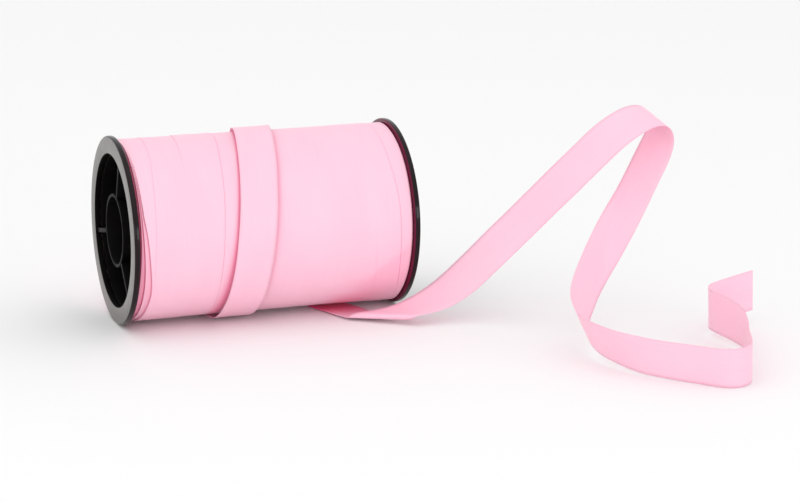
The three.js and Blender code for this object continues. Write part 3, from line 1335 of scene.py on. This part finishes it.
    def build(self) -> bpy.types.Object:
        """Builds the strip: its section carried along all the lines, which puts each point at
        middle + share * half + height * out.

        Returns:
            The finished piece.
        """
        turn_lines, free_lines = self.turn_lines(), self.free_lines()
        middle, half, out = (np.concatenate(pair) for pair in zip(turn_lines, free_lines))
        gone = np.concatenate([[0], np.cumsum(np.linalg.norm(np.diff(middle, axis=0), axis=1))])
        across, height = self.section(gone)
        grid = middle[:, None] + half[:, None] * across[:, None] + out[:, None] * height[..., None]
        grid = grid * MM + self.spool.middle
        # Painted shade along the strip, the same across it.
        painted_shade = self.painted_shade_at(gone, gone[len(turn_lines[0])])
        painted_shade = np.broadcast_to(painted_shade[:, None], grid.shape[:2])
        ring = np.append(across, across[0])
        uv = np.stack(np.broadcast_arrays(ring * self.stock.width / 2, gone[:, None]), -1) * MM
        piece = ring_grid_object("ribbon_loose_end", grid, wrap_rows=False, uv=uv, painted_shade=painted_shade)
        dress(piece, Slot.RIBBON, self.stock.finish.material())
        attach(piece, "root")
        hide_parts("ribbon_last_turn", "ribbon_free_end")
        report(piece)
        return piece


# Camera, light and floor


@dataclass(frozen=True)
class AreaLight:
    """One soft light. It stands off the subject by azimuth, elevation and distance in metres, and
    is as wide and as tall as its size says, in metres."""

    name: str
    azimuth: float
    elevation: float
    distance: float
    size: tuple[float, float]
    power: float


@dataclass
class Studio:
    """Camera at the photograph's angle, soft lights and a plain pale floor."""

    spool: Spool
    azimuth: float = -19.03
    elevation: float = 13.53
    distance: float = 1415.2
    target: tuple[float, float, float] = (68.55, -27.59, -15.47)
    focal_pixels: float = 2805.4
    picture_width: float = 800.0
    sensor_width: float = 36.0
    floor_size: float = 6.0
    sky: float = 0.99
    lights: tuple[AreaLight, ...] = (
        AreaLight("overhead_softbox", -20, 68, 1.3, (1.4, 1.4), 1.6),
        AreaLight("front_softbox", 19, 7, 1.6, (0.55, 0.36), 2.2),
        AreaLight("low_left_softbox", -55, 6, 1.6, (0.9, 0.3), 2.0),
    )

    @staticmethod
    def direction(azimuth: float, elevation: float) -> Vector:
        """Unit vector from the subject towards something at an azimuth and elevation."""
        a, e = math.radians(azimuth), math.radians(elevation)
        return Vector((math.sin(a) * math.cos(e), -math.cos(a) * math.cos(e), math.sin(e)))

    @staticmethod
    def aimed(
        name: str, data: bpy.types.ID, place: Vector, towards: Vector
    ) -> bpy.types.Object:
        """Adds a camera or light at a place, looking back along a direction.

        Args:
            name: the object's name.
            data: camera or light data.
            place: where it stands, in metres.
            towards: direction from its subject towards it.

        Returns:
            The new object.
        """
        thing = bpy.data.objects.new(name, data)
        thing.location = place
        thing.rotation_mode = "QUATERNION"
        thing.rotation_quaternion = (-towards).to_track_quat("-Z", "Y")
        bpy.context.scene.collection.objects.link(thing)
        return thing

    def build_camera(self) -> None:
        """Sets the camera up so that the spool and the free end fall where the picture has them."""
        data = bpy.data.cameras.new("camera")
        data.sensor_width = self.sensor_width
        data.lens = self.focal_pixels / self.picture_width * self.sensor_width
        back = self.direction(self.azimuth, self.elevation)
        centre = Vector(self.spool.middle + MM * np.array(self.target))
        camera = self.aimed("camera", data, centre + back * self.distance * MM, back)
        bpy.context.scene.camera = camera

    def build_lights(self) -> None:
        """Adds the soft lights and an even white sky."""
        centre = Vector(self.spool.middle)
        for light in self.lights:
            data = bpy.data.lights.new(light.name, "AREA")
            data.shape = "RECTANGLE"
            data.size, data.size_y = light.size
            data.energy = light.power
            towards = self.direction(light.azimuth, light.elevation)
            self.aimed(light.name, data, centre + towards * light.distance, towards)
        world = bpy.data.worlds.new("white_sky")
        world.use_nodes = True
        background = world.node_tree.nodes["Background"]
        background.inputs["Color"].default_value = (1, 1, 1, 1)
        background.inputs["Strength"].default_value = self.sky
        bpy.context.scene.world = world

    def build_floor(self) -> None:
        """Lays the floor: a flat square at the height on which the roll stands."""
        half = self.floor_size / 2
        mesh = bpy.data.meshes.new("floor")
        corners = [(-half, -half, 0), (half, -half, 0), (half, half, 0), (-half, half, 0)]
        mesh.from_pydata(corners, [], [(0, 1, 2, 3)])
        mesh.materials.append(StudioFloorFinish().material())
        floor = bpy.data.objects.new("floor", mesh)
        bpy.context.scene.collection.objects.link(floor)

    def build(self) -> None:
        """Builds the camera, the lights and the floor."""
        self.build_camera()
        self.build_lights()
        self.build_floor()
        bpy.context.scene.view_settings.view_transform = "Standard"


def main() -> None:
    """Builds the studio, the spool and the ribbon."""
    logging.basicConfig(level=logging.INFO, format="%(name)s %(message)s")
    spool = Spool()
    stock = RibbonStock()
    Studio(spool).build()
    spool.build()
    loose_end = LooseEnd(spool, stock)
    Winding(spool, stock, under=loose_end).build()
    loose_end.build()


if __name__ == "__main__":
    main()
